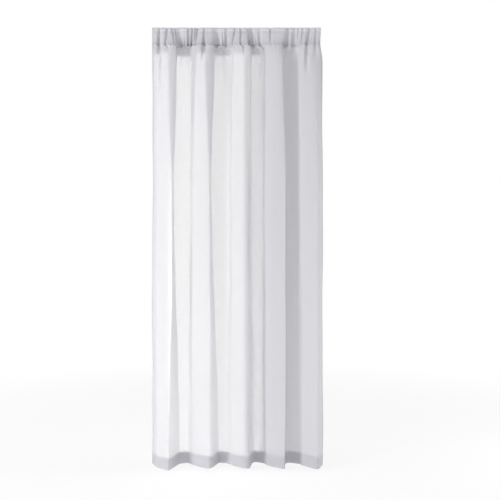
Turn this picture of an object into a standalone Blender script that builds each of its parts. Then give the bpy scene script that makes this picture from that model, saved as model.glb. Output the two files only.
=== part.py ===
"""A sheer voile curtain panel, gathered by its empty rod pocket and hanging in five deep folds.

The origin is on the axis of the rod channel, half way across. X runs along the channel, -Y is the room's side
and Z is up. All sizes are in millimetres until the points are made.
"""

import math
from collections import namedtuple

import bmesh
import bpy
from mathutils import Vector

MM = 0.001

# Driving sizes.
CLOTH = 1.2             # thickness of the sheet
DROP = 2134.0           # from the top of the pocket to the hem
POCKET_DEPTH = 83.3     # from the top of the pocket to its stitching
CHANNEL_RADIUS = 12.7   # middle of the cloth round the rod's place
POCKET_GAP = 2.6        # between the middles of the pocket's two layers at the stitching
PIECE_GAP = 0.3         # between the pocket and the drop
ROUNDNESS = 0.8         # of the folds: 0 is a straight pleat, 1 a soft wave
GATHER_BULGE = 0.75     # share of the gathers' depth that stands out round the rod
STEEPEST = 3.0          # slope of a gather past which the pocket's gap grows no wider

# Steps of the mesh.
POCKET_COLUMNS = 116
DROP_COLUMNS = 92
ARC_STEPS = 6
POCKET_HEIGHTS = (0.0, 0.12, 0.4, 0.7)   # rows between the stitching and the channel, as shares

TOP = CHANNEL_RADIUS + CLOTH / 2
SEAM = TOP - POCKET_DEPTH
HEM = TOP - DROP
NECK = SEAM - 80.0      # where the gathers have run together into folds
WAIST = SEAM - 800.0    # where the overlapping pleats have opened

# Each crease runs down the cloth: how far across it lies, and how far back from the rod's axis.
Crease = namedtuple("Crease", "name seam neck waist hem seam_back neck_back waist_back hem_back")
CREASES = [
    Crease("left edge", -409, -409, -413, -417, 2, 8, 30, 50),
    Crease("roll", -373, -368, -382, -388, -6, -8, -10, -8),
    Crease("edge 1", -300, -289, -303, -324, -10, -26, -44, -54),
    Crease("back 1", -269, -328, -310, -277, 10, 24, 36, 40),
    Crease("valley 1", -240, -194, -222, -241, 7, 32, 38, 50),
    Crease("front 2", -219, -222, -218, -215, -2, 0, 10, 24),
    Crease("edge 2", -112, -106, -129, -127, -10, -24, -28, -28),
    Crease("back 2", -89, -148, -124, -84, 11, 26, 40, 54),
    Crease("valley 2", -50, -26, -32, -43, 4, 28, 34, 41),
    Crease("front 3", -30, -18, -28, -24, -1, 2, 8, 18),
    Crease("edge 3", 52, 69, 59, 59, -10, -24, -28, -29),
    Crease("back 3", 81, 71, 74, 90, 11, 28, 38, 61),
    Crease("valley 3", 110, 135, 137, 133, 4, 24, 34, 46),
    Crease("front 4", 130, 144, 139, 150, -1, 2, 8, 18),
    Crease("edge 4", 222, 221, 239, 235, -10, -27, -34, -34),
    Crease("back 4", 242, 232, 246, 251, 12, 34, 42, 52),
    Crease("valley 4", 294, 303, 307, 309, 7, 36, 44, 37),
    Crease("front 5", 304, 309, 311, 319, 0, 2, 10, 22),
    Crease("edge 5", 385, 384, 396, 393, -10, -18, -34, -40),
    Crease("right edge", 408, 420, 422, 423, 0, 4, 12, 22),
]

# Each pucker is a small gather between the folds: its place at the stitching, how far it leans on its way up
# to the rod, its width, its depth and how far its tail runs down the drop.
Pucker = namedtuple("Pucker", "place lean width depth tail")
PUCKERS = [
    Pucker(-378, 14, 11, 15, 140),
    Pucker(-338, 4, 10, 13, 60),
    Pucker(-314, -14, 10, 12, 60),
    Pucker(-238, 0, 10, 8, 30),
    Pucker(-198, 2, 10, 15, 30),
    Pucker(-170, 18, 11, 11, 60),
    Pucker(-144, -4, 11, 16, 110),
    Pucker(-44, 0, 11, 14, 150),
    Pucker(-14, 26, 11, 10, 60),
    Pucker(22, 0, 12, 15, 90),
    Pucker(112, 2, 15, 11, 120),
    Pucker(166, 6, 11, 12, 60),
    Pucker(192, 4, 10, 6, 40),
    Pucker(286, 2, 11, 9, 90),
    Pucker(350, 16, 12, 16, 130),
]

# Heights of the drop's rows, measured down from the stitching as shares of the drop.
DROP_ROWS = (0, 0.012, 0.026, 0.042, 0.064, 0.095, 0.14, 0.2, 0.28, 0.38, 0.5, 0.62, 0.74, 0.86, 1)


def blend(a, b, share):
    return a + (b - a) * share


def smooth(share):
    """Ease from 0 to 1."""
    share = min(max(share, 0.0), 1.0)
    return share * share * (3 - 2 * share)


def level_tangents(heights, values):
    """Slopes of a curve down the levels that never overshoots them."""
    steps = [(b - a) / (q - p) for p, q, a, b in zip(heights, heights[1:], values, values[1:])]
    inner = [2 * a * b / (a + b) if a * b > 0 else 0.0 for a, b in zip(steps, steps[1:])]
    return [steps[0], *inner, steps[-1]]


def down_the_levels(values, z):
    """A crease's place at height z, from its places at the stitching, neck, waist and hem."""
    heights = (SEAM, NECK, WAIST, HEM)
    slopes = level_tangents(heights, values)
    i = next((k for k in range(2) if z >= heights[k + 1]), 2)
    span = heights[i + 1] - heights[i]
    t = (z - heights[i]) / span
    rise = t * t * (3 - 2 * t)
    start = t * (1 - t) ** 2 * slopes[i]
    end = t * t * (t - 1) * slopes[i + 1]
    return blend(values[i], values[i + 1], rise) + (start + end) * span


def crease_points(z):
    """Where the creases cross height z, as points across and back."""
    return [
        Vector((
            down_the_levels((c.seam, c.neck, c.waist, c.hem), z),
            down_the_levels((c.seam_back, c.neck_back, c.waist_back, c.hem_back), z),
        ))
        for c in CREASES
    ]


def column_places(columns, heights):
    """Each column's crease and share of the way to the next one, evenly along the cloth at these heights."""
    sections = [crease_points(z) for z in heights]
    widths = [
        sum((s[i + 1] - s[i]).length for s in sections) / len(sections) for i in range(len(CREASES) - 1)
    ]
    places = []
    for column in range(columns + 1):
        along = sum(widths) * column / columns
        i = 0
        while i < len(widths) - 1 and along > widths[i]:
            along -= widths[i]
            i += 1
        places.append((i, min(along / widths[i], 1.0)))
    return places


def fold_section(z, places):
    """The folded cloth at height z: a soft line through the creases, one point a column."""
    creases = crease_points(z)
    last = len(creases) - 1
    headings = [(creases[min(i + 1, last)] - creases[max(i - 1, 0)]).normalized() for i in range(last + 1)]
    points = []
    for i, t in places:
        reach = (creases[i + 1] - creases[i]).length * ROUNDNESS
        points.append(
            creases[i].lerp(creases[i + 1], t * t * (3 - 2 * t))
            + headings[i] * (reach * t * (1 - t) ** 2)
            + headings[i + 1] * (reach * t * t * (t - 1))
        )
    return points


def pucker_back(place, up, down):
    """How far back the puckers push the cloth, up the pocket as a share or down the drop in millimetres."""
    back = 0.0
    for p in PUCKERS:
        off = (place - p.place - p.lean * up) / p.width
        back += p.depth * math.exp(-2 * off * off) * (1 - smooth(down / p.tail))
    return back


def stitched_section(places, up):
    """The gathers at a height in the pocket, as points across and back."""
    return [Vector((p.x, p.y + pucker_back(p.x, up, 0.0))) for p in fold_section(SEAM, places)]


def layer_gaps(section):
    """Half the gap between the pocket's layers along Y, wider where the gathers run steeply back."""
    gaps = []
    for i in range(len(section)):
        step = section[min(i + 1, len(section) - 1)] - section[max(i - 1, 0)]
        steep = min(abs(step.y) / max(abs(step.x), 1e-6), STEEPEST)
        gaps.append(POCKET_GAP / 2 * math.hypot(1.0, steep))
    return gaps


def pocket_ring(column, stitched, at_rod, gaps):
    """One column of the pocket, round from the stitching up the front, over the rod's place and down the back."""
    across, seam_back = stitched[column]
    deepest = max(p.y for p in at_rod)
    nearest = min(p.y for p in at_rod)
    front = CHANNEL_RADIUS + GATHER_BULGE * (deepest - at_rod[column].y)
    rear = CHANNEL_RADIUS + GATHER_BULGE * (at_rod[column].y - nearest)
    bottom = SEAM + CLOTH / 2
    low = bottom + POCKET_GAP / 2
    ring = [(across, seam_back, bottom)]
    for share in POCKET_HEIGHTS:
        y = blend(seam_back - gaps[column], -front, smooth(share))
        ring.append((across, y, blend(low, 0.0, share)))
    for step in range(ARC_STEPS + 1):
        angle = math.pi * step / ARC_STEPS
        bulge = blend(front, rear, step > ARC_STEPS / 2) - CHANNEL_RADIUS
        reach = CHANNEL_RADIUS + bulge * math.cos(angle) ** 2
        ring.append((across, -reach * math.cos(angle), CHANNEL_RADIUS * math.sin(angle)))
    for share in reversed(POCKET_HEIGHTS):
        y = blend(seam_back + gaps[column], rear, smooth(share))
        ring.append((across, y, blend(low, 0.0, share)))
    return ring


def pocket_rows():
    places = column_places(POCKET_COLUMNS, (SEAM,))
    stitched = stitched_section(places, 0.0)
    at_rod = stitched_section(places, 1.0)
    gaps = layer_gaps(stitched)
    return [pocket_ring(column, stitched, at_rod, gaps) for column in range(POCKET_COLUMNS + 1)]


def drop_rows():
    places = column_places(DROP_COLUMNS, (SEAM, NECK, WAIST, HEM))
    start = [p.x for p in fold_section(SEAM, places)]
    top = SEAM - PIECE_GAP
    rows = []
    for share in DROP_ROWS:
        z = blend(top, HEM, share)
        down = top - z
        points = fold_section(z, places)
        rows.append([(p.x, p.y + pucker_back(at, 0.0, down), z) for p, at in zip(points, start)])
    return rows


def cloth_mesh(name, rows, ring):
    """A sheet through rows of points, each row closed to a ring where asked."""
    sheet = bmesh.new()
    grid = [[sheet.verts.new(Vector(point) * MM) for point in row] for row in rows]
    for upper, lower in zip(grid, grid[1:]):
        for i in range(len(upper) if ring else len(upper) - 1):
            j = (i + 1) % len(upper)
            sheet.faces.new((upper[i], lower[i], lower[j], upper[j]))
    bmesh.ops.triangulate(sheet, faces=sheet.faces[:])
    mesh = bpy.data.meshes.new(name)
    sheet.to_mesh(mesh)
    sheet.free()
    mesh.shade_smooth()
    return mesh


def voile(name, colour):
    material = bpy.data.materials.new(name)
    material.use_nodes = True
    shader = material.node_tree.nodes["Principled BSDF"]
    shader.inputs["Base Color"].default_value = (*colour, 1.0)
    shader.inputs["Roughness"].default_value = 0.85
    shader.inputs["Metallic"].default_value = 0.0
    return material


def add_cloth(name, rows, ring, material, collection):
    """The sheet as an object with the cloth's thickness."""
    cloth = bpy.data.objects.new(name, cloth_mesh(name, rows, ring))
    cloth.data.materials.append(material)
    collection.objects.link(cloth)
    thickness = cloth.modifiers.new("Cloth thickness", "SOLIDIFY")
    thickness.thickness = CLOTH * MM
    thickness.offset = 0.0
    thickness.use_rim = True
    return cloth


def build():
    for old in list(bpy.data.objects):
        bpy.data.objects.remove(old, do_unlink=True)
    curtain = bpy.data.collections.new("Sheer voile curtain")
    bpy.context.scene.collection.children.link(curtain)
    add_cloth("rod_pocket", pocket_rows(), True, voile("Pocket voile", (0.80, 0.80, 0.81)), curtain)
    add_cloth("panel", drop_rows(), False, voile("Drop voile", (0.88, 0.88, 0.89)), curtain)


build()
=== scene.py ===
import math

import bmesh
import bpy
import numpy as np
from mathutils import Matrix, Vector


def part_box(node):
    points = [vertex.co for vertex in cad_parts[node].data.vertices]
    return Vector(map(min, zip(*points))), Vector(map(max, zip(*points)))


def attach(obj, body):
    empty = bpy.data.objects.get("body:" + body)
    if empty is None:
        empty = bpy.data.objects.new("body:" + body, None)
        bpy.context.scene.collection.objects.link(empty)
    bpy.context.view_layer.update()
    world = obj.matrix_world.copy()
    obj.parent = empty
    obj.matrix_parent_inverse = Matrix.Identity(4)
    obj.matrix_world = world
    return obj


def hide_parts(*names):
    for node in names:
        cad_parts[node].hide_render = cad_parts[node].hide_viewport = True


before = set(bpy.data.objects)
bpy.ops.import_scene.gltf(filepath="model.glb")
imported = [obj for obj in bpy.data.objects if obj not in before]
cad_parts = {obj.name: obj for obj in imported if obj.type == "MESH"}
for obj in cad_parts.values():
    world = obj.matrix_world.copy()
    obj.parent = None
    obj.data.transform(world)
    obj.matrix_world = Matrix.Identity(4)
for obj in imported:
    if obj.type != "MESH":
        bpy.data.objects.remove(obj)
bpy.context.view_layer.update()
print("frame loaded")

mm = 0.001

# The voile as it was cut and sewn. Lengths are in millimetres until the points are made.
curtain = {
    "seam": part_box("rod_pocket")[0][2] / mm,         # the line of stitching under the pocket
    "hemEdge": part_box("panel")[0][2] / mm,
    "channelRadius": 12.7,
    "spreadBelowSeam": 14.0,     # the pleats lie over each other from here down
    "neckBelowSeam": 80.0,       # the gathers have run together into folds here
    "waistBelowSeam": 800.0,     # the overlapping pleats have opened here
    "roundness": 0.72,           # of the folds: 0 is a straight pleat, 1 a soft wave
    "puff": 8.0,                 # how far the cloth between the gathers stands forward
    "width": 1372.0,             # finished width of the cloth
    "sideHem": 12.0,
    "bottomHem": 57.0,
    "layerGap": 0.45,            # between the layers of a side hem
    "hemStack": 2.2,             # the bottom hem's layers lie this many gaps apart, to clear the side hems
    "hemRound": 1.5,             # length of cloth in each turn of a hem
    "seamGap": 0.15,             # from the seam to the edge of each sheet
    "sway": 1.6,                 # how unevenly a fold's edge hangs
    "pucker": 0.35,              # of the cloth along a line of stitching
    "puckerLength": 9.6,
    "puckerReach": 6.0,
    "ripple": 0.7,               # of the cloth between the gathers
    "rippleSpacing": 21.0,
    "rippleFade": 90.0,          # how far down the drop the ripples run out
    "leanReach": 22.0,           # how far to each side a leaning gather draws the cloth
}
curtain["neck"] = curtain["seam"] - curtain["neckBelowSeam"]
curtain["waist"] = curtain["seam"] - curtain["waistBelowSeam"]

# Each fold line runs down the cloth: how far across it lies at the seam, neck, waist and hem, how far back
# from the rod's axis at the same four heights, and how crisp it is from the waist down, from 0 for a soft
# wave to 1 for a sharp edge.
foldLines = [
    # name          across: seam  neck  waist  hem    back: seam  neck  waist  hem   crisp
    ("left edge",   (-409, -409, -413, -417),         (2, 8, 30, 50),             0.0),
    ("roll",        (-373, -368, -382, -388),         (-6, -8, -10, -8),          0.0),
    ("edge 1",      (-300, -289, -303, -324),         (-10, -26, -44, -54),       0.9),
    ("back 1",      (-269, -328, -310, -277),         (10, 24, 36, 40),           0.8),
    ("valley 1",    (-240, -194, -222, -241),         (7, 32, 38, 50),            0.0),
    ("front 2",     (-219, -222, -218, -215),         (-2, 0, 10, 24),            0.0),
    ("edge 2",      (-112, -106, -129, -127),         (-10, -24, -28, -28),       0.4),
    ("back 2",      (-89, -148, -124, -84),           (11, 26, 40, 54),           0.6),
    ("valley 2",    (-50, -26, -32, -43),             (4, 28, 34, 41),            0.0),
    ("front 3",     (-30, -18, -28, -24),             (-1, 2, 8, 18),             0.0),
    ("edge 3",      (52, 69, 59, 59),                 (-10, -24, -28, -29),       0.4),
    ("back 3",      (81, 71, 74, 90),                 (11, 28, 38, 61),           0.0),
    ("valley 3",    (110, 135, 137, 133),             (4, 24, 34, 46),            0.0),
    ("front 4",     (130, 144, 139, 150),             (-1, 2, 8, 18),             0.0),
    ("edge 4",      (222, 221, 239, 235),             (-10, -27, -34, -34),       0.9),
    ("back 4",      (242, 232, 246, 251),             (12, 34, 42, 52),           0.0),
    ("valley 4",    (294, 303, 307, 309),             (7, 36, 44, 37),            0.5),
    ("front 5",     (304, 309, 311, 319),             (0, 2, 10, 22),             0.3),
    ("edge 5",      (385, 384, 396, 393),             (-10, -18, -34, -40),       0.8),
    ("right edge",  (408, 420, 422, 423),             (0, 4, 12, 22),             0.0),
]

# Each gather is a narrow crease in the heading: where it crosses the stitching, how far it leans on its way
# up to the rod, its half width and depth at the stitching and under the rod, its depth over the top of
# the rod, and how far its tail runs down the drop.
gathers = [
    # place lean  wide: seam rod  deep: seam rod top  tail
    (-378, 13, 7, 6, 22, 19, 4, 90),
    (-371, 0, 7, 4, 11, 0, 0, 420),
    (-342, 13, 6, 6, 10, 19, 12, 60),
    (-299, -18, 4, 4, 2, 18, 13, 20),
    (-287, -13, 4, 4, 2, 16, 12, 20),
    (-272, 3, 12, 11, 22, 9, 0, 60),
    (-252, 0, 4, 4, 10, 0, 0, 330),
    (-235, 7, 6, 4, 24, 20, 14, 60),
    (-219, 5, 5, 4, 22, 19, 13, 40),
    (-205, 4, 3, 3, 2, 17, 13, 20),
    (-196, 22, 6, 5, 4, 19, 13, 30),
    (-157, 2, 8, 4, 26, 15, 4, 110),
    (-97, 0, 14, 13, 22, 12, 0, 60),
    (-64, 0, 4, 3, 12, 0, 0, 330),
    (-50, -2, 9, 4, 26, 15, 8, 60),
    (-18, 17, 5, 4, 4, 19, 13, 30),
    (23, -2, 6, 6, 10, 20, 6, 90),
    (63, -16, 4, 4, 14, 20, 14, 30),
    (78, -3, 9, 8, 26, 18, 3, 60),
    (97, 0, 3, 3, 7, 0, 0, 200),
    (116, -4, 8, 10, 20, 7, 0, 130),
    (167, -2, 5, 6, 1, 18, 14, 20),
    (236, 17, 14, 10, 26, 20, 4, 60),
    (282, -5, 12, 9, 26, 15, 1, 60),
    (298, 6, 4, 3, 1, 13, 12, 20),
    (318, 0, 4, 5, 2, 12, 1, 20),
    (342, 20, 7, 7, 24, 20, 3, 170),
    (383, 0, 8, 6, 14, 16, 3, 140),
]


def eased(share):
    share = np.clip(share, 0.0, 1.0)
    return share * share * (3 - 2 * share)


def blended(a, b, share):
    return a + (b - a) * share


# A fold line's place at the heights z, smooth through its four levels and never beyond them.
def downTheDrop(values, z, second):
    levels = [curtain["seam"], curtain["seam"] - second, curtain["waist"], curtain["hemEdge"]]
    steps = [(values[i + 1] - values[i]) / (levels[i + 1] - levels[i]) for i in range(3)]
    slopes = [steps[0]]
    for a, b in zip(steps, steps[1:]):
        slopes.append(2 * a * b / (a + b) if a * b > 0 else 0.0)
    slopes.append(steps[-1])
    place = np.zeros_like(z)
    for i in range(3):
        span = levels[i + 1] - levels[i]
        t = (z - levels[i]) / span
        curve = blended(values[i], values[i + 1], t * t * (3 - 2 * t))
        curve = curve + span * (t * (1 - t) ** 2 * slopes[i] + t * t * (t - 1) * slopes[i + 1])
        inside = (z <= levels[i]) if i else np.ones_like(z, bool)
        place = np.where(inside, curve, place)
    return place


def foldPoints(z):
    outer = (foldLines[0], foldLines[-1])
    spread = [curtain["neckBelowSeam"] if line in outer else curtain["spreadBelowSeam"] for line in foldLines]
    across = np.stack([downTheDrop(line[1], z, second) for line, second in zip(foldLines, spread)], axis=1)
    back = np.stack([downTheDrop(line[2], z, curtain["neckBelowSeam"]) for line in foldLines], axis=1)
    turn = 1.7 * np.arange(len(foldLines))[None, :]
    waver = np.sin(z[:, None] / 163 + turn) + 0.5 * np.sin(z[:, None] / 67 + 2.3 * turn)
    settled = eased((curtain["seam"] - z[:, None]) / curtain["neckBelowSeam"])
    return np.stack([across + curtain["sway"] * waver * settled, back], axis=2)


def unit(vectors):
    return vectors / np.maximum(np.linalg.norm(vectors, axis=-1, keepdims=True), 1e-9)


# The folded section at each height z: a soft line through the fold lines, a point for each place.
def foldedSection(places, z):
    points = foldPoints(z)
    last = len(foldLines) - 1
    steps = unit(np.diff(points, axis=1))
    before = np.concatenate([steps[:, :1], steps], axis=1)
    after = np.concatenate([steps, steps[:, -1:]], axis=1)
    through = unit(before + after)
    crisp = np.array([line[3] for line in foldLines])[None, :, None]
    crisp = crisp * np.clip((curtain["seam"] - z) / curtain["waistBelowSeam"], 0, 1)[:, None, None]
    arriving = unit(blended(through, before, crisp))
    leaving = unit(blended(through, after, crisp))
    i = np.minimum(places.astype(int), last - 1)
    t = (places - i)[None, :, None]
    a, b = points[:, i], points[:, i + 1]
    reach = np.linalg.norm(b - a, axis=2, keepdims=True) * curtain["roundness"]
    line = blended(a, b, t * t * (3 - 2 * t))
    return line + reach * (leaving[:, i] * t * (1 - t) ** 2 + arriving[:, i + 1] * t * t * (t - 1))


# How far the gathers push the cloth back: up is the share of the way to the rod, over the share of the way
# from there to the top of the rod, and down the distance below the seam.
def gatherDepth(across, up, over, down):
    depth = np.zeros(np.broadcast(across, down).shape)
    for place, lean, seamWide, rodWide, seamDeep, rodDeep, topDeep, tail in gathers:
        run = np.clip(down / tail, 0, 1)
        wide = blended(seamWide, rodWide, up) * (1 + run)
        deep = blended(blended(seamDeep, rodDeep, eased(up)), topDeep, over) * (1 - eased(run))
        off = np.abs(across - place) / wide
        depth = np.maximum(depth, deep * np.exp(-off ** blended(3.0, 1.8, run)))
    return depth - curtain["puff"] * (1 - eased(down / curtain["neckBelowSeam"]))


# Where each distance along the cut cloth falls among the fold lines: the weave keeps its length, so the
# distances follow the folds' and gathers' own paths, on the average of four heights.
def placesAlongCloth(cut):
    levels = np.array([curtain["seam"], curtain["neck"], curtain["waist"], curtain["hemEdge"]])
    places = np.linspace(0, len(foldLines) - 1, 40 * (len(foldLines) - 1) + 1)
    sections = foldedSection(places, levels)
    seamAcross = sections[0, :, 0].copy()
    sections[:, :, 1] += gatherDepth(seamAcross[None, :], 0.0, 0.0, (curtain["seam"] - levels)[:, None])
    steps = np.linalg.norm(np.diff(sections, axis=1), axis=2)
    along = np.concatenate([[0], np.cumsum(steps.mean(axis=0))])
    return np.interp(cut / curtain["width"] * along[-1], along, places)


# The cloth is drawn sideways with the gathers that lean.
def leanShift(across, up):
    shift, weight = 0.0, 0.0
    for place, lean, *_ in gathers:
        near = np.exp(-((across - place) / curtain["leanReach"]) ** 2)
        shift, weight = shift + near * lean, weight + near
    return shift / (weight + 0.3) * up


# Small uneven ripples between the gathers.
def ripple(across, z):
    spacing, seed = curtain["rippleSpacing"], 1.3
    wander = 2.2 * np.sin(z / 61 + seed) + 1.4 * np.sin(z / 23 + 2.3 * seed)
    wave = np.sin(2 * math.pi * (across + wander) / spacing + seed)
    wave = wave + 0.6 * np.sin(2 * math.pi * (across - wander) / (spacing * 0.61) + 2.7 * seed)
    return wave * (0.6 + 0.4 * np.sin(across / 37 + 1.9 * seed)) * curtain["ripple"]


# Rounded little pleats with narrow creases between them: 0 in a crease and 1 between two.
def finePleats(across, spacing, seed):
    wander = 0.3 * spacing * np.sin(across / 29 + seed) + 0.2 * spacing * np.sin(across / 11.3 + 2 * seed)
    return np.abs(np.sin(math.pi * (across + wander) / spacing)) ** 0.6


# The cloth draws up a little along the stitching of the pocket and of the bottom hem.
def puckers(cut, z):
    hemLine = curtain["hemEdge"] + curtain["bottomHem"]
    near = np.exp(-np.abs(curtain["seam"] - z) / curtain["puckerReach"])
    near = near + np.exp(-np.abs(z - hemLine) / curtain["puckerReach"])
    wave = np.sin(2 * math.pi * cut / curtain["puckerLength"] + 2.5 * np.sin(cut / 31))
    return curtain["pucker"] * near[:, None] * wave[None, :]


def sectionNormals(points):
    along = unit(np.gradient(points, axis=1))
    return np.stack([along[:, :, 1], -along[:, :, 0]], axis=2)  # towards the room


# The drop at distances along the cut cloth and at heights z, standing towards the room by lift.
def dropPoints(cut, z, lift):
    places = placesAlongCloth(np.clip(cut, 0, curtain["width"]))
    points = foldedSection(places, z)
    seamAcross = foldedSection(places, np.array([curtain["seam"]]))[0, :, 0]
    down = (curtain["seam"] - z)[:, None]
    points[:, :, 1] += gatherDepth(seamAcross[None, :], 0.0, 0.0, down)
    small = ripple(seamAcross[None, :], z[:, None]) * (1 - eased(down / curtain["rippleFade"]))
    normals = sectionNormals(points)
    normals[:, np.gradient(cut) < 0] *= -1    # a turned hem runs back, but faces the same way
    points = points + normals * (lift + (puckers(cut, z) - small)[:, :, None])
    height = np.broadcast_to(z[:, None], points.shape[:2])
    return np.stack([points[:, :, 0], points[:, :, 1], height], axis=2)


# A grid of columns and rows with its cloth's own measure as UVs, its points put in place afterwards.
def clothGrid(name, cut, down, points):
    bm = bmesh.new()
    bmesh.ops.create_grid(bm, x_segments=len(cut) - 1, y_segments=len(down) - 1, size=0.5)
    bm.verts.ensure_lookup_table()
    columns = [int(round((v.co.x + 0.5) * (len(cut) - 1))) for v in bm.verts]
    rows = [int(round((0.5 - v.co.y) * (len(down) - 1))) for v in bm.verts]
    weaveMap = bm.loops.layers.uv.new("weave")
    for v, column, row in zip(bm.verts, columns, rows):
        v.co = Vector(points[row, column]) * mm
    for face in bm.faces:
        for loop in face.loops:
            k = loop.vert.index
            loop[weaveMap].uv = (cut[columns[k]] * mm, -down[rows[k]] * mm)
        face.smooth = True
    mesh = bpy.data.meshes.new(name)
    bm.to_mesh(mesh)
    bm.free()
    piece = bpy.data.objects.new(name, mesh)
    bpy.context.scene.collection.objects.link(piece)
    return piece


# Distances past an edge fold back twice, as a hem does: how far in from the edge, and in which layer.
def turnedHem(past, hemWidth):
    first = np.minimum(past, hemWidth)
    second = np.clip(past - hemWidth, 0, hemWidth)
    inside = first - second
    turn = curtain["hemRound"]
    layer = 2 * eased(past / turn) - eased((past - hemWidth) / turn)
    return inside, layer


# Where the cloth turned in past each side has its columns, in millimetres past the edge.
turnSteps = (0.4, 0.9, 1.5, 3, 6, 9, 11, 11.6, 12, 12.6, 13.4, 16, 19, 22)


# Columns across the whole cut cloth: their own distance, where each lies once the sides are turned in, and
# in which layer.
def hemmedColumns(count):
    width = curtain["width"]
    past = np.array(turnSteps)
    cut = np.concatenate([-past[::-1], np.linspace(0, width, count), width + past])
    sideIn, sideLayer = turnedHem(np.maximum(np.maximum(-cut, cut - width), 0), curtain["sideHem"])
    cutPlace = np.where(cut < 0, sideIn, np.where(cut > width, width - sideIn, cut))
    return cut, cutPlace, sideLayer


drop = {
    "columns": 500,
    "neck": (150, 38),          # how far down the fine gathers reach, and their rows
    "shoulder": (450, 36),      # the same for the stretch below them
    "body": (66, 76),           # and from there to this far above the hem's edge
    "hemFront": (63, 60, 58.6, 57.4, 56.4, 55, 52, 46, 38, 30, 22, 14, 8, 3, 0),    # rows above that edge
    "hemBack": (0.4, 0.9, 1.5, 8, 20, 32, 44, 55.5, 56.4, 57, 57.6, 58.5, 70, 85, 100, 112),   # and past it
}


def makeDrop():
    cut, cutPlace, sideLayer = hemmedColumns(drop["columns"])
    length = curtain["seam"] - curtain["hemEdge"]
    neckEnd, neckRows = drop["neck"]
    shoulderEnd, shoulderRows = drop["shoulder"]
    aboveEdge, bodyRows = drop["body"]
    down = np.concatenate([
        np.linspace(0, neckEnd, neckRows),
        np.linspace(neckEnd, shoulderEnd, shoulderRows)[1:],
        np.linspace(shoulderEnd, length - aboveEdge, bodyRows)[1:],
        length - np.array(drop["hemFront"]),
        length + np.array(drop["hemBack"]),
    ])
    hemIn, hemLayer = turnedHem(np.maximum(down - length, 0), curtain["bottomHem"])
    z = curtain["seam"] - curtain["seamGap"] - np.where(down > length, length - hemIn, down)
    lift = -curtain["layerGap"] * (sideLayer[None, :] + curtain["hemStack"] * hemLayer[:, None])
    points = dropPoints(cutPlace, z, lift[:, :, None])
    piece = clothGrid("dropVoile", cut, down, points)
    print("drop made")
    return piece


pocket = {
    "columns": 600,
    "straightRows": 24,
    "archRows": 20,
    "turnedUnder": 10.0,    # of the edge, at the stitching
    "backGap": 0.9,         # between the two layers at the stitching
    "pressed": 0.2,         # how much of their usual spacing the side hems' layers keep there
    "foldBulge": 0.25,      # share of the folds' depth that stands out round the rod
    "gatherBulge": 0.95,    # and of the gathers' depth
    "backSwell": 0.5,       # share of the gathers' depth that swells the back layer, over a wider stretch
    "backSpread": 2.2,
    "backPuff": 9.0,        # how far the back layer stands out between its own creases
    "ridge": 1.5,           # how closely the cloth follows the rod before it falls back to the seam
    "crestRise": 4.6,       # of the pleats over the top of the rod
    "pleat": 12.5,          # from one of those to the next
    "underRod": 3.4,        # depth of the hollow under the rod
    "hollowDrop": 12.0,     # and its distance below the rod's axis
    "hollowReach": 5.0,
    "steepest": 3.0,        # slope of a gather past which the gap grows no wider
}


# The back layer swells softly behind the gathers and has creases of its own, halfway between them.
def backRelief(across):
    swell, crease = np.zeros_like(across), np.zeros_like(across)
    for place, _, _, rodWide, _, rodDeep, *_ in gathers:
        off = (across - place) / (rodWide * pocket["backSpread"])
        swell = np.maximum(swell, pocket["backSwell"] * rodDeep * np.exp(-off ** 2))
    for left, right in zip(gathers, gathers[1:]):
        apart = right[0] - left[0]
        wide, deep = min(5.0, 0.25 * apart), min(pocket["backPuff"], 0.4 * apart)
        off = np.abs(across - (left[0] + right[0]) / 2) / wide
        crease = np.maximum(crease, deep * np.exp(-off ** 1.6))
    return swell + pocket["backPuff"] - crease


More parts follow.
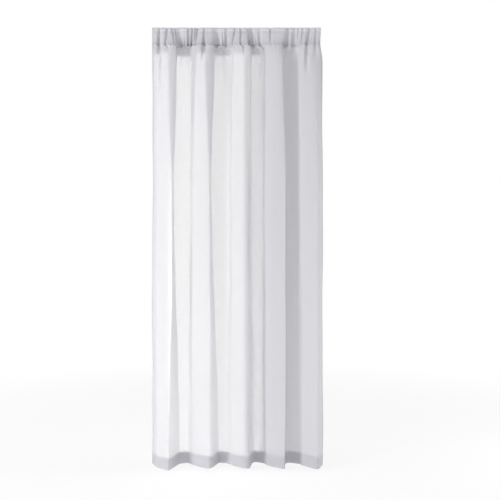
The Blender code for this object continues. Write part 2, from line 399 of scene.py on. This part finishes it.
def makePocket():
    cut, cutPlace, sideLayer = hemmedColumns(pocket["columns"])
    inset = curtain["layerGap"] * sideLayer
    low = curtain["seam"]
    seam = foldedSection(placesAlongCloth(cutPlace), np.array([low]))[0]
    across, fold = seam[:, 0], seam[:, 1]
    radius = curtain["channelRadius"]
    deepest = max(g[5] for g in gathers)
    pleats = finePleats(across, pocket["pleat"], 1.7)
    notch = (gatherDepth(across, 1.0, 1.0, 0.0) + curtain["puff"]) / max(g[6] for g in gathers)
    lift = pocket["crestRise"] * (0.4 * (1 - notch) + 0.6 * pleats)
    relief = backRelief(across)
    tight = puckers(cutPlace, np.array([low]))[0]

    def smallAt(up):
        soft = ripple(across, np.full(len(cut), low))
        return blended(soft, 1.1 * (pleats - 0.6), eased(up))

    def reaches(up, over):
        gather = gatherDepth(across, up, over, 0.0)
        deep = gather + curtain["puff"]
        small = smallAt(up)
        front = pocket["foldBulge"] * (fold.max() - fold)
        front = front + pocket["gatherBulge"] * np.maximum(deepest - deep, 0)
        back = pocket["foldBulge"] * (fold - fold.min()) + relief
        return gather, radius + front + small - inset, radius + back + small - inset

    def frontRow(up):
        gather, frontReach, _ = reaches(up, 0.0)
        start = fold + gather + smallAt(up) + pocket["pressed"] * inset - tight
        below = (low * (1 - up) + pocket["hollowDrop"]) / pocket["hollowReach"]
        hollow = pocket["underRod"] * math.exp(-below ** 2)
        return blended(start, -frontReach, up ** pocket["ridge"]) + hollow * (1 - notch)

    def backRow(up, gap):
        gather, _, backReach = reaches(up, 0.0)
        steep = np.abs(np.gradient(fold + gather) / np.maximum(np.abs(np.gradient(across)), 1e-3))
        start = fold + gather + smallAt(up) - pocket["pressed"] * inset - tight
        start = start + gap * np.hypot(1, np.minimum(steep, pocket["steepest"]))
        return blended(start, backReach, up ** pocket["ridge"])

    rows, down = [], []

    def addRow(back, height, along):
        rows.append(np.stack([across, back, np.broadcast_to(height, across.shape)], axis=1))
        down.append(along)

    for up in np.linspace(0, 1, pocket["straightRows"]):
        addRow(frontRow(up), (low + curtain["seamGap"]) * (1 - up), low * up)
    for angle in np.linspace(0, math.pi, pocket["archRows"] + 2)[1:-1]:
        _, frontReach, backReach = reaches(1.0, math.sin(angle))
        bulge = (frontReach if angle < math.pi / 2 else backReach) - radius
        reach = radius + bulge * math.cos(angle) ** 2
        crest = radius + lift * math.sin(angle) ** 2 - inset
        addRow(-reach * math.cos(angle), crest * math.sin(angle), low - radius * angle)
    for up in np.linspace(1, 0, pocket["straightRows"]):
        along = low - radius * math.pi - abs(low) * (1 - up)
        addRow(backRow(up, pocket["backGap"]), low * (1 - up), along)
    for under in np.linspace(0.5, pocket["turnedUnder"], 5):
        along = 2 * low - radius * math.pi - under
        addRow(backRow(under / abs(low), pocket["backGap"] / 2), low + under, along)
    points = np.stack(rows)
    leans = np.interp(points[:, :, 2], [low, 0.0], [0.0, 1.0])
    points[:, :, 0] += leanShift(across[None, :], leans)
    piece = clothGrid("pocketVoile", cut, -np.array(down), points)
    print("pocket made")
    return piece


stitching = {
    "pitch": 3.2,
    "length": 2.5,
    "thread": 0.36,
    "fromFold": 1.5,        # how far each line runs from its hem's fold
    "belowSeam": 0.8,       # the front line of the pocket's, on the drop
    "proud": 0.1,           # of the cloth
    "batch": 40,            # how many are made at a time
    "colour": (0.83, 0.825, 0.85),
}


def stitchEnds(length):
    centres = np.arange(stitching["pitch"], length - stitching["pitch"] / 2, stitching["pitch"])
    return np.stack([centres - stitching["length"] / 2, centres + stitching["length"] / 2], axis=1).ravel()


# Each line is a row of points, two for each stitch: a small rounded stitch lies between them. They are made
# a few at a time, because an operator takes longer on a large mesh.
def makeStitches(name, lines):
    whole = bmesh.new()
    mesh = bpy.data.meshes.new(name)
    pairs = [pair for line in lines for pair in zip(line[0::2], line[1::2])]
    thread, batch = stitching["thread"] * mm, stitching["batch"]
    for first in range(0, len(pairs), batch):
        bm = bmesh.new()
        for a, b in pairs[first:first + batch]:
            start, end = Vector(a) * mm, Vector(b) * mm
            turn = (end - start).to_track_quat("Z", "Y").to_matrix().to_4x4()
            size = Matrix.Diagonal((thread, thread, (end - start).length, 1))
            place = Matrix.Translation((start + end) / 2) @ turn @ size
            bmesh.ops.create_uvsphere(bm, u_segments=5, v_segments=4, radius=0.5, matrix=place)
        bm.to_mesh(mesh)
        bm.free()
        whole.from_mesh(mesh)
    for face in whole.faces:
        face.smooth = True
    whole.to_mesh(mesh)
    whole.free()
    piece = bpy.data.objects.new(name, mesh)
    bpy.context.scene.collection.objects.link(piece)
    print(name, "made")
    return piece


# A line of stitches across the cloth, at one height.
def stitchesAcross(z, lift):
    ends = stitchEnds(curtain["width"])
    return dropPoints(ends, np.array([z]), lift)[0]


# And one down it, beside a side hem.
def stitchesDown(cut, lift):
    ends = curtain["seam"] - stitchEnds(curtain["seam"] - curtain["hemEdge"])
    near = np.array([cut - 1.0, cut, cut + 1.0])
    return dropPoints(near, ends, lift)[:, 1]


def makePocketStitching():
    inFront = stitchesAcross(curtain["seam"] - stitching["belowSeam"], stitching["proud"])
    behind = stitchesAcross(curtain["seam"], -pocket["backGap"] - stitching["proud"])
    behind[:, 2] += stitching["fromFold"]
    return makeStitches("pocketStitching", [inFront, behind])


def makeHemStitching():
    height = curtain["hemEdge"] + curtain["bottomHem"] - stitching["fromFold"]
    thickness = 2 * curtain["hemStack"] * curtain["layerGap"]
    proud = stitching["proud"]
    lines = [stitchesAcross(height, proud), stitchesAcross(height, -thickness - proud)]
    return makeStitches("hemStitching", lines)


def makeSideStitching():
    inward = curtain["sideHem"] - stitching["fromFold"]
    thickness = 2 * curtain["layerGap"]
    proud = stitching["proud"]
    lines = []
    for cut in (inward, curtain["width"] - inward):
        lines += [stitchesDown(cut, proud), stitchesDown(cut, -thickness - proud)]
    return makeStitches("sideStitching", lines)


voile = {
    "colour": (0.80, 0.795, 0.827),
    "cover": 0.92,          # share of the light that one layer stops, seen square on
    "glow": 0.45,           # share of the cloth's light that comes through it
    "threadPitch": 0.55,    # millimetres
    "threadMean": 0.68,     # mean height of the weave, which the cover swings about
    "threadCover": 0.3,     # how far it swings
    "slub": 0.10,           # and how far again with the thicker yarns
    "leastFacing": 0.14,    # the cover grows no more when the cloth is nearer edge on than this
}


def link(tree, a, b):
    tree.links.new(a, b)


def mathNode(tree, operation, a, b=None, clamp=False):
    node = tree.nodes.new("ShaderNodeMath")
    node.operation = operation
    node.use_clamp = clamp
    for socket, value in zip(node.inputs, (a, b)):
        if isinstance(value, bpy.types.NodeSocket):
            link(tree, value, socket)
        elif value is not None:
            socket.default_value = value
    return node.outputs[0]


# Streaks of thicker yarn: noise drawn out along one direction of the weave.
def yarnStreaks(tree, uv, across, along, seed):
    mapping = tree.nodes.new("ShaderNodeMapping")
    mapping.inputs["Location"].default_value = (seed, seed * 1.7, 0)
    mapping.inputs["Scale"].default_value = (across, along, 1)
    link(tree, uv, mapping.inputs["Vector"])
    noise = tree.nodes.new("ShaderNodeTexNoise")
    noise.inputs["Scale"].default_value = 1.0
    noise.inputs["Detail"].default_value = 2.0
    link(tree, mapping.outputs["Vector"], noise.inputs["Vector"])
    return noise.outputs["Fac"]


def threads(tree, uv, direction):
    wave = tree.nodes.new("ShaderNodeTexWave")
    wave.bands_direction = direction
    wave.inputs["Scale"].default_value = 1000 / voile["threadPitch"] / 20 * math.pi
    wave.inputs["Distortion"].default_value = 0.0
    link(tree, uv, wave.inputs["Vector"])
    return wave.outputs["Fac"]


def voileMaterial(name):
    material = bpy.data.materials.new(name)
    material.use_nodes = True
    tree = material.node_tree
    tree.nodes.clear()
    uv = tree.nodes.new("ShaderNodeUVMap")
    uv.uv_map = "weave"
    place = uv.outputs["UV"]
    warp = yarnStreaks(tree, place, 900, 12, 3.1)
    weft = yarnStreaks(tree, place, 14, 800, 8.4)
    slubs = mathNode(tree, "ADD", warp, weft)
    slubs = mathNode(tree, "MULTIPLY", mathNode(tree, "SUBTRACT", slubs, 1.0), voile["slub"] * 2)
    weave = mathNode(tree, "MAXIMUM", threads(tree, place, "X"), threads(tree, place, "Y"))
    swing = mathNode(tree, "SUBTRACT", weave, voile["threadMean"])
    weaveCover = mathNode(tree, "MULTIPLY", swing, voile["threadCover"])
    cover = mathNode(tree, "ADD", mathNode(tree, "ADD", slubs, weaveCover), voile["cover"], clamp=True)
    # Seen at a slant the same weave covers more.
    slant = tree.nodes.new("ShaderNodeLayerWeight")
    slant.inputs["Blend"].default_value = 0.5
    facing = mathNode(tree, "SUBTRACT", 1.0, slant.outputs["Facing"])
    facing = mathNode(tree, "MAXIMUM", facing, voile["leastFacing"])
    holes = mathNode(tree, "SUBTRACT", 1.0, cover)
    opening = mathNode(tree, "POWER", holes, mathNode(tree, "DIVIDE", 1.0, facing))
    seen = mathNode(tree, "SUBTRACT", 1.0, opening, clamp=True)

    bump = tree.nodes.new("ShaderNodeBump")
    bump.inputs["Strength"].default_value = 0.25
    bump.inputs["Distance"].default_value = 0.0002
    link(tree, weave, bump.inputs["Height"])
    face = tree.nodes.new("ShaderNodeBsdfPrincipled")
    face.inputs["Base Color"].default_value = (*voile["colour"], 1)
    face.inputs["Roughness"].default_value = 0.8
    face.inputs["Sheen Weight"].default_value = 0.15
    face.inputs["Sheen Roughness"].default_value = 0.4
    face.inputs["Specular IOR Level"].default_value = 0.25
    link(tree, bump.outputs["Normal"], face.inputs["Normal"])
    through = tree.nodes.new("ShaderNodeBsdfTranslucent")
    through.inputs["Color"].default_value = (*voile["colour"], 1)
    cloth = tree.nodes.new("ShaderNodeMixShader")
    cloth.inputs["Fac"].default_value = voile["glow"]
    link(tree, face.outputs["BSDF"], cloth.inputs[1])
    link(tree, through.outputs["BSDF"], cloth.inputs[2])
    clear = tree.nodes.new("ShaderNodeBsdfTransparent")
    sheer = tree.nodes.new("ShaderNodeMixShader")
    link(tree, seen, sheer.inputs["Fac"])
    link(tree, clear.outputs["BSDF"], sheer.inputs[1])
    link(tree, cloth.outputs["Shader"], sheer.inputs[2])
    output = tree.nodes.new("ShaderNodeOutputMaterial")
    link(tree, sheer.outputs["Shader"], output.inputs["Surface"])
    return material


# Spun thread, its twist too fine to see from a step away.
def threadMaterial(name):
    material = bpy.data.materials.new(name)
    material.use_nodes = True
    tree = material.node_tree
    spun = tree.nodes["Principled BSDF"]
    spun.inputs["Base Color"].default_value = (*stitching["colour"], 1)
    spun.inputs["Roughness"].default_value = 0.6
    spun.inputs["Sheen Weight"].default_value = 0.3
    place = tree.nodes.new("ShaderNodeTexCoord")
    twist = tree.nodes.new("ShaderNodeTexWave")
    twist.bands_direction = "DIAGONAL"
    twist.inputs["Scale"].default_value = 900.0
    twist.inputs["Distortion"].default_value = 0.5
    link(tree, place.outputs["Object"], twist.inputs["Vector"])
    bump = tree.nodes.new("ShaderNodeBump")
    bump.inputs["Strength"].default_value = 0.5
    bump.inputs["Distance"].default_value = 0.0001
    link(tree, twist.outputs["Fac"], bump.inputs["Height"])
    link(tree, bump.outputs["Normal"], spun.inputs["Normal"])
    return material


studio = {
    "distance": 3.0,            # from the lens to the rod, metres
    "pixel": 4.87 * mm,         # of the cloth's plane for each pixel
    "frameMiddle": (0.0666, -1.066),   # what the middle of the picture sees, across and up
    "backdrop": 1.0,
    "fill": 0.365,
    "key": 80.0,
    "overhead": 9.0,
    "edgeLight": 18.0,
    "backLightTop": -0.11,
    "backLightBack": 0.14,      # behind the rod
    "backLightSpread": 9.0,     # degrees
    "backLightColour": (1.0, 1.006, 0.93),
    "floorRadius": 9.0,
    "floorDrop": 14.0,          # millimetres below the hem
    "floorGlow": 0.45,          # what it throws up at the cloth
    "floorBase": 0.8,           # what the lens sees of it without any light
    "floorShade": 0.24,         # and how much the lights add
    "floorFade": (2.2, 3.8),    # where it turns into the backdrop
}


# Narrow soft lights close behind the cloth, which shine through it as daylight does.
backLights = [
    # name            from    to      down to  watts for each metre across
    ("daylight",      -0.50,  0.04,   -2.14,   3.0),
    ("first recess",  -0.32,  -0.225, -2.07,   4.0),
    ("second recess", -0.128, -0.035, -2.07,   2.4),
    ("third recess",  0.065,  0.13,   -2.07,   4.0),
]


def makeCamera():
    camera = bpy.data.objects.new("camera", bpy.data.cameras.new("camera"))
    bpy.context.scene.collection.objects.link(camera)
    camera.data.sensor_width = 36.0
    camera.data.lens = 36.0 * studio["distance"] / (500 * studio["pixel"])
    across, up = studio["frameMiddle"]
    camera.location = (across, -studio["distance"], up)
    camera.rotation_euler = (math.pi / 2, 0, 0)
    bpy.context.scene.camera = camera


def areaLight(name, place, target, size, power, spread=math.pi, colour=(1, 1, 1)):
    lamp = bpy.data.lights.new(name, "AREA")
    lamp.shape = "RECTANGLE"
    lamp.size, lamp.size_y = size
    lamp.energy = power
    lamp.spread = spread
    lamp.color = colour
    holder = bpy.data.objects.new(name, lamp)
    bpy.context.scene.collection.objects.link(holder)
    holder.location = place
    holder.rotation_euler = (Vector(target) - Vector(place)).to_track_quat("-Z", "Y").to_euler()
    holder.visible_camera = False


# Pale and plain, and as white as the backdrop further out, so that no horizon shows.
def floorMaterial():
    pale = bpy.data.materials.new("pale floor")
    pale.use_nodes = True
    tree = pale.node_tree
    ground = tree.nodes["Principled BSDF"]
    ground.inputs["Base Color"].default_value = (0.75, 0.75, 0.75, 1)
    ground.inputs["Roughness"].default_value = 0.9
    ground.inputs["Emission Color"].default_value = (1, 1, 1, 1)
    ground.inputs["Emission Strength"].default_value = studio["floorGlow"]
    shaded = tree.nodes.new("ShaderNodeBsdfDiffuse")
    shaded.inputs["Color"].default_value = (*[studio["floorShade"]] * 3, 1)
    base = tree.nodes.new("ShaderNodeEmission")
    base.inputs["Strength"].default_value = studio["floorBase"]
    plain = tree.nodes.new("ShaderNodeAddShader")
    link(tree, shaded.outputs["BSDF"], plain.inputs[0])
    link(tree, base.outputs["Emission"], plain.inputs[1])
    white = tree.nodes.new("ShaderNodeEmission")
    white.inputs["Strength"].default_value = studio["backdrop"]
    place = tree.nodes.new("ShaderNodeTexCoord")
    length = tree.nodes.new("ShaderNodeVectorMath")
    length.operation = "LENGTH"
    link(tree, place.outputs["Object"], length.inputs[0])
    ramp = tree.nodes.new("ShaderNodeMapRange")
    ramp.interpolation_type = "SMOOTHSTEP"
    ramp.inputs["From Min"].default_value, ramp.inputs["From Max"].default_value = studio["floorFade"]
    link(tree, length.outputs["Value"], ramp.inputs["Value"])
    seen = tree.nodes.new("ShaderNodeMixShader")
    link(tree, ramp.outputs["Result"], seen.inputs["Fac"])
    link(tree, plain.outputs["Shader"], seen.inputs[1])
    link(tree, white.outputs["Emission"], seen.inputs[2])
    path = tree.nodes.new("ShaderNodeLightPath")
    mix = tree.nodes.new("ShaderNodeMixShader")
    link(tree, path.outputs["Is Camera Ray"], mix.inputs["Fac"])
    link(tree, ground.outputs["BSDF"], mix.inputs[1])
    link(tree, seen.outputs["Shader"], mix.inputs[2])
    link(tree, mix.outputs["Shader"], tree.nodes["Material Output"].inputs["Surface"])
    return pale


def makeStudio():
    world = bpy.data.worlds.new("studio")
    bpy.context.scene.world = world
    world.use_nodes = True
    tree = world.node_tree
    background = tree.nodes["Background"]
    background.inputs["Color"].default_value = (1, 1, 1, 1)
    path = tree.nodes.new("ShaderNodeLightPath")
    strength = mathNode(tree, "MULTIPLY", path.outputs["Is Camera Ray"], studio["backdrop"] - studio["fill"])
    link(tree, mathNode(tree, "ADD", strength, studio["fill"]), background.inputs["Strength"])

    bm = bmesh.new()
    bmesh.ops.create_circle(bm, cap_ends=True, segments=96, radius=studio["floorRadius"])
    bmesh.ops.translate(bm, verts=bm.verts, vec=(0, 0, (curtain["hemEdge"] - studio["floorDrop"]) * mm))
    mesh = bpy.data.meshes.new("floor")
    bm.to_mesh(mesh)
    bm.free()
    floor = bpy.data.objects.new("floor", mesh)
    bpy.context.scene.collection.objects.link(floor)
    mesh.materials.append(floorMaterial())

    middle = (0.0, 0.0, -1.05)
    areaLight("key", (-3.0, -2.3, -0.8), middle, (1.2, 2.0), studio["key"])
    areaLight("overhead", (0, -0.1, 1.2), (0, 0, 0), (1.2, 0.3), studio["overhead"])
    areaLight("edgeLight", (2.3, -0.1, -1.0), middle, (0.5, 2.2), studio["edgeLight"])
    top, spread = studio["backLightTop"], math.radians(studio["backLightSpread"])
    for name, left, right, bottom, power in backLights:
        place = ((left + right) / 2, studio["backLightBack"], (top + bottom) / 2)
        size = (right - left, top - bottom)
        areaLight(name, place, (place[0], 0, place[2]), size, power * size[0], spread,
                  studio["backLightColour"])
    bpy.context.scene.view_settings.view_transform = "Standard"
    print("studio made")


dropVoile = makeDrop()
pocketVoile = makePocket()
pocketStitching = makePocketStitching()
hemStitching = makeHemStitching()
sideStitching = makeSideStitching()
cloth = voileMaterial("voile")
thread = threadMaterial("thread")
for piece in (dropVoile, pocketVoile):
    piece.data.materials.append(cloth)
    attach(piece, "root")
for piece in (pocketStitching, hemStitching, sideStitching):
    piece.data.materials.append(thread)
    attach(piece, "root")
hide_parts("panel")
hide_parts("rod_pocket")

makeCamera()
makeStudio()
